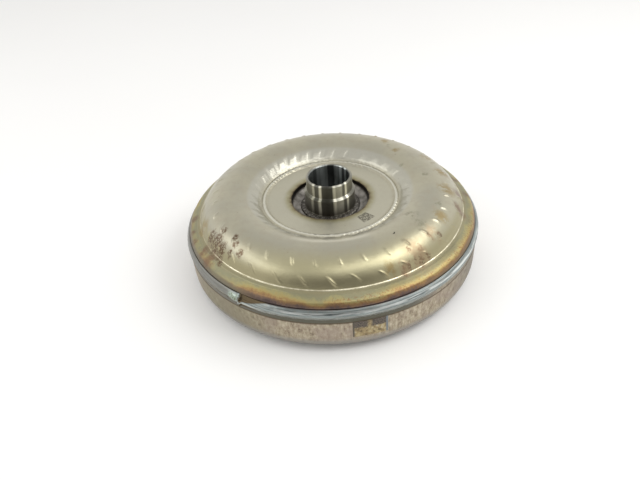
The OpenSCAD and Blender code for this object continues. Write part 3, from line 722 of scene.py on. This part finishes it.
def build_shell():
    piece = turned("shell_skin", shell_outline(), 1440, shell_relief)
    return outfit(piece, shell_steel(), "housing", "impeller_shell", "impeller_shell")


def cover_outline():
    outer = rounded([(11.0, 8.0, 0), (77.5, 8.0, 3), (84.0, COVER_LOW, 3), (COVER_R - 0.4, COVER_LOW, 11),
                     (COVER_R, 35.8, 0.3), (COVER_R - 0.25, 36.3, 0.2), (COVER_R - 0.2, COVER_HIGH, 0)])
    inner = rounded([(11.0, 12.0, 0), (78.5, 12.0, 3), (84.8, 10.0, 3), (COVER_R - COVER_T, 10.0, 7),
                     (COVER_R - COVER_T, RABBET_Z, 0), (SKIRT_R, RABBET_Z, 0), (SKIRT_R, COVER_HIGH, 0)])
    return np.vstack([resampled(outer, 1.5), inner[::-1]])


def build_cover():
    piece = turned("cover_skin", cover_outline(), 720)
    return outfit(piece, skirt_steel(), "housing", "front_cover", "front_cover")


def build_girth_weld():
    crown = arc((WELD_R - 4.75, 44.6), 4.6, -40, 40, 20)
    line = np.vstack([[(SKIRT_R, COVER_HIGH), (COVER_R, COVER_HIGH), (COVER_R - 0.2, WELD_LOW + 0.2)],
                      resampled(crown, 0.35), [(139.3, 49.5), (SKIRT_R, WELD_HIGH - 0.1)]])
    piece = turned("weld_bead", line, 2880, weld_ripple)
    return outfit(piece, bead_steel(), "housing", "girth_weld", "girth_weld")


def build_hub():
    flange_z = FLOOR_Z - SHELL_T
    line = rounded([(BORE_R, HUB_LOW, 0), (HUB_FLANGE_R, HUB_LOW, 0), (HUB_FLANGE_R, flange_z, 0),
                    (HUB_ROOT_R, flange_z, 0), (HUB_ROOT_R, ROOT_Z, 0.15), (JOURNAL_R, ROOT_Z + 0.2, 0.1),
                    (JOURNAL_R, STEP_Z - 2.0, 0.35), (LAND_R, STEP_Z, 0.5), (LAND_R, HUB_TOP - 1.2, 0.5),
                    (LAND_R - 1.0, HUB_TOP, 0.3), (BORE_R + 1.1, HUB_TOP, 0.3), (BORE_R, HUB_TOP - 1.4, 0.4),
                    (BORE_R, HUB_LOW, 0)])[:-1]
    piece = turned("hub_skin", resampled(line, 1.0), 360)
    return outfit(piece, turned_steel(), "housing", "impeller_hub", "impeller_hub")


def hub_weld_relief(az, r, z):
    lumps = waves(31, 18, 6, 40, 0.3)
    clear_of_hub = r > HUB_ROOT_R + 0.3
    return 0.25 * lumps(az, r, z) * np.clip((z - FLOOR_Z) * 2, 0, 1) * clear_of_hub


def build_hub_weld():
    line = rounded([(HUB_ROOT_R, FLOOR_Z, 0), (29.2, FLOOR_Z, 0), (28.2, FLOOR_Z + 1.5, 1.5),
                    (HUB_ROOT_R, FLOOR_Z + 2.2, 0)])
    piece = turned("hub_weld_bead", resampled(line, 0.3), 720, hub_weld_relief)
    return outfit(piece, burnt_weld(), "housing", "hub_weld", "hub_weld")


def build_springs():
    """Six coil springs bent along the damper's circle, each as two halves that run out from its middle."""
    low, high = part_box("damper_springs")
    middle_z = (low.z + high.z) / 2 / MM
    coil_r = (high.z - low.z) / 2 / MM - WIRE_R - SPRING_ROOM
    sides = np.radians(np.arange(0, 360, 30))
    material = sheet_steel("spring_steel", (0.34, 0.34, 0.35), 0.32)
    for k in range(12):
        half = 1 - 2 * (k % 2)
        u = half * np.linspace(0, 1, SPRING_TURNS * 20)
        centre = math.radians(60 * (k // 2))
        w, turn = centre + np.radians(SPRING_HALF) * u, np.pi * SPRING_TURNS * u
        out = np.c_[np.cos(w), np.sin(w), 0 * w]
        up = np.c_[0 * w, 0 * w, 1 + 0 * w]
        arm = np.cos(turn)[:, None] * out + np.sin(turn)[:, None] * up
        path = SPRING_PATH_R * out + coil_r * arm + middle_z * up
        along = np.gradient(path, axis=0)
        side = np.cross(along / np.linalg.norm(along, axis=1)[:, None], arm)
        tube = path[:, None] + WIRE_R * (np.cos(sides)[None, :, None] * arm[:, None]
                                         + np.sin(sides)[None, :, None] * side[:, None])
        ends = [np.repeat(path[i][None, None], len(sides), 1) for i in (0, -1)]
        tube = np.concatenate([ends[0], tube, ends[1]])
        piece = grid(f"damper_spring_{k // 2 + 1}{'ab'[k % 2]}", tube * MM, wrap=False)
        outfit(piece, material, "damper", "damper_springs", "damper_springs")
        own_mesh(piece)


def finish_cad_nodes():
    """Materials for the CAD nodes that stay as they are."""
    steels = {
        "blades": sheet_steel("blade_steel", (0.52, 0.51, 0.49)),
        "dark": sheet_steel("dark_steel", (0.36, 0.36, 0.37), 0.42),
        "ground": sheet_steel("ground_steel", (0.66, 0.66, 0.66), 0.22),
        "forged": sheet_steel("forged_steel", (0.56, 0.55, 0.54), 0.30),
        "cast": sheet_steel("cast_aluminium", (0.72, 0.73, 0.74), 0.48),
        "brass": sheet_steel("pressed_brass", (0.68, 0.53, 0.26), 0.30),
        "lining": sheet_steel("friction_paper", (0.16, 0.11, 0.07), 0.85),
        "seal": sheet_steel("seal_plastic", (0.03, 0.03, 0.03), 0.6),
        "weld": burnt_weld(),
        "label": label_film(),
    }
    cages = [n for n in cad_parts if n.endswith("cage")]
    races_and_needles = [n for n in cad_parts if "bearing" in n and not n.endswith("cage")]
    wear = {
        "blades": ["impeller_blades", "turbine_blades", "impeller_core_ring", "turbine_core_ring",
                   "turbine_shell", "lockup_piston"],
        "dark": ["damper_driven_plate", "damper_front_retainer", "damper_rear_retainer", "damper_springs",
                 "damper_stop_rivets", "turbine_rivets"],
        "ground": ["clutch_rollers", "clutch_outer_race", "clutch_inner_race", "clutch_roller_springs",
                   *races_and_needles],
        "forged": ["turbine_hub", "pilot_boss", "drive_lugs"],
        "cast": ["stator_wheel"],
        "brass": ["stator_front_washer", "stator_rear_washer", *cages],
        "lining": ["friction_lining"],
        "seal": ["piston_seal_ring"],
        "weld": ["lug_welds"],
        "label": ["id_label"],
    }
    for finish, names in wear.items():
        for name in names:
            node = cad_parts[name]
            node.data.materials.clear()
            node.data.materials.append(steels[finish])


# ---- stage ----

def build_floor():
    bpy.ops.mesh.primitive_plane_add(size=FLOOR_SIZE)
    floor = bpy.context.object
    floor.name = "floor"
    p = Paint("floor_paper", metallic=0.0, roughness=0.9)
    tone = p.noise(0.004, 2)
    floor.data.materials.append(p.done(p.mix(tone, (0.955, 0.955, 0.95), (0.98, 0.98, 0.975))))


def build_world():
    """A pale room that is dimmer overhead, and in front at eye height."""
    world = bpy.data.worlds.new("studio")
    bpy.context.scene.world = world
    world.use_nodes = True
    tree = world.node_tree
    place = tree.nodes.new("ShaderNodeTexCoord")
    split = tree.nodes.new("ShaderNodeSeparateXYZ")
    tree.links.new(place.outputs["Generated"], split.inputs[0])

    def rise(socket, low, high, start, end):
        made = tree.nodes.new("ShaderNodeMapRange")
        made.interpolation_type = "SMOOTHSTEP"
        tree.links.new(socket, made.inputs[0])
        for i, value in enumerate((low, high, start, end), 1):
            made.inputs[i].default_value = value
        return made.outputs[0]

    def calc(operation, a, b):
        made = tree.nodes.new("ShaderNodeMath")
        made.operation = operation
        tree.links.new(a, made.inputs[0])
        tree.links.new(b, made.inputs[1])
        return made.outputs[0]

    toward_y, toward_z = split.outputs["Y"], split.outputs["Z"]
    height = rise(toward_z, 0.15, 0.75, 1.0, 0.80)
    dim = calc("MAXIMUM", rise(toward_y, -0.55, -0.85, 1.0, 0.30), rise(toward_z, 0.45, 0.75, 0.0, 1.0))
    background = tree.nodes["Background"]
    background.inputs[0].default_value = (1.0, 0.99, 0.97, 1)
    tree.links.new(calc("MULTIPLY", height, dim), background.inputs[1])


def build_lamps():
    """Softboxes that face the object's foot from LAMP_DISTANCE metres."""
    for name, azimuth, elevation, wide, high, radiance in LAMPS:
        data = bpy.data.lights.new(name, "AREA")
        data.shape = "RECTANGLE"
        data.size = 2 * LAMP_DISTANCE * math.tan(math.radians(wide / 2))
        data.size_y = 2 * LAMP_DISTANCE * math.tan(math.radians(high / 2))
        data.energy = radiance * math.pi * data.size * data.size_y
        lamp = bpy.data.objects.new(name, data)
        bpy.context.scene.collection.objects.link(lamp)
        a, e = math.radians(azimuth), math.radians(elevation)
        away = Vector((math.cos(a) * math.cos(e), math.sin(a) * math.cos(e), math.sin(e)))
        side = Vector((-math.sin(a), math.cos(a), 0))
        axes = Matrix((side, away.cross(side), away)).transposed().to_4x4()
        lamp.matrix_world = Matrix.Translation(away * LAMP_DISTANCE) @ axes


def build_camera():
    """A camera in front of the converter, about 35 degrees up and rolled a little.

    The target lies aside and above of the view's middle. The distance is in metres.
    """
    elevation, roll = math.radians(35.14), math.radians(3.45)
    distance = 0.5947
    aside, above = math.radians(1.054), math.radians(2.483)
    target = Vector((0, 0, 46.5 * MM))
    ahead = Vector((0, math.cos(elevation), -math.sin(elevation)))
    right, up = Vector((1, 0, 0)), Vector((0, math.sin(elevation), math.cos(elevation)))
    right, up = (math.cos(roll) * right - math.sin(roll) * up, math.sin(roll) * right + math.cos(roll) * up)
    seen = Vector((math.tan(aside), -math.tan(above), 1)).normalized()
    turn = Vector((0, 0, 1)).rotation_difference(seen).to_matrix()
    axes = [turn[i][0] * right - turn[i][1] * up + turn[i][2] * ahead for i in range(3)]
    data = bpy.data.cameras.new("camera")
    data.sensor_width = 36
    data.lens = 33.76
    camera = bpy.data.objects.new("camera", data)
    bpy.context.scene.collection.objects.link(camera)
    basis = Matrix((axes[0], -axes[1], -axes[2])).transposed()
    camera.matrix_world = Matrix.Translation(target - ahead * distance) @ basis.to_4x4()
    bpy.context.scene.camera = camera


build_camera()
build_shell()
build_cover()
build_girth_weld()
build_hub()
build_hub_weld()
build_springs()
finish_cad_nodes()
build_floor()
build_world()
build_lamps()
bpy.context.scene.view_settings.view_transform = "Standard"
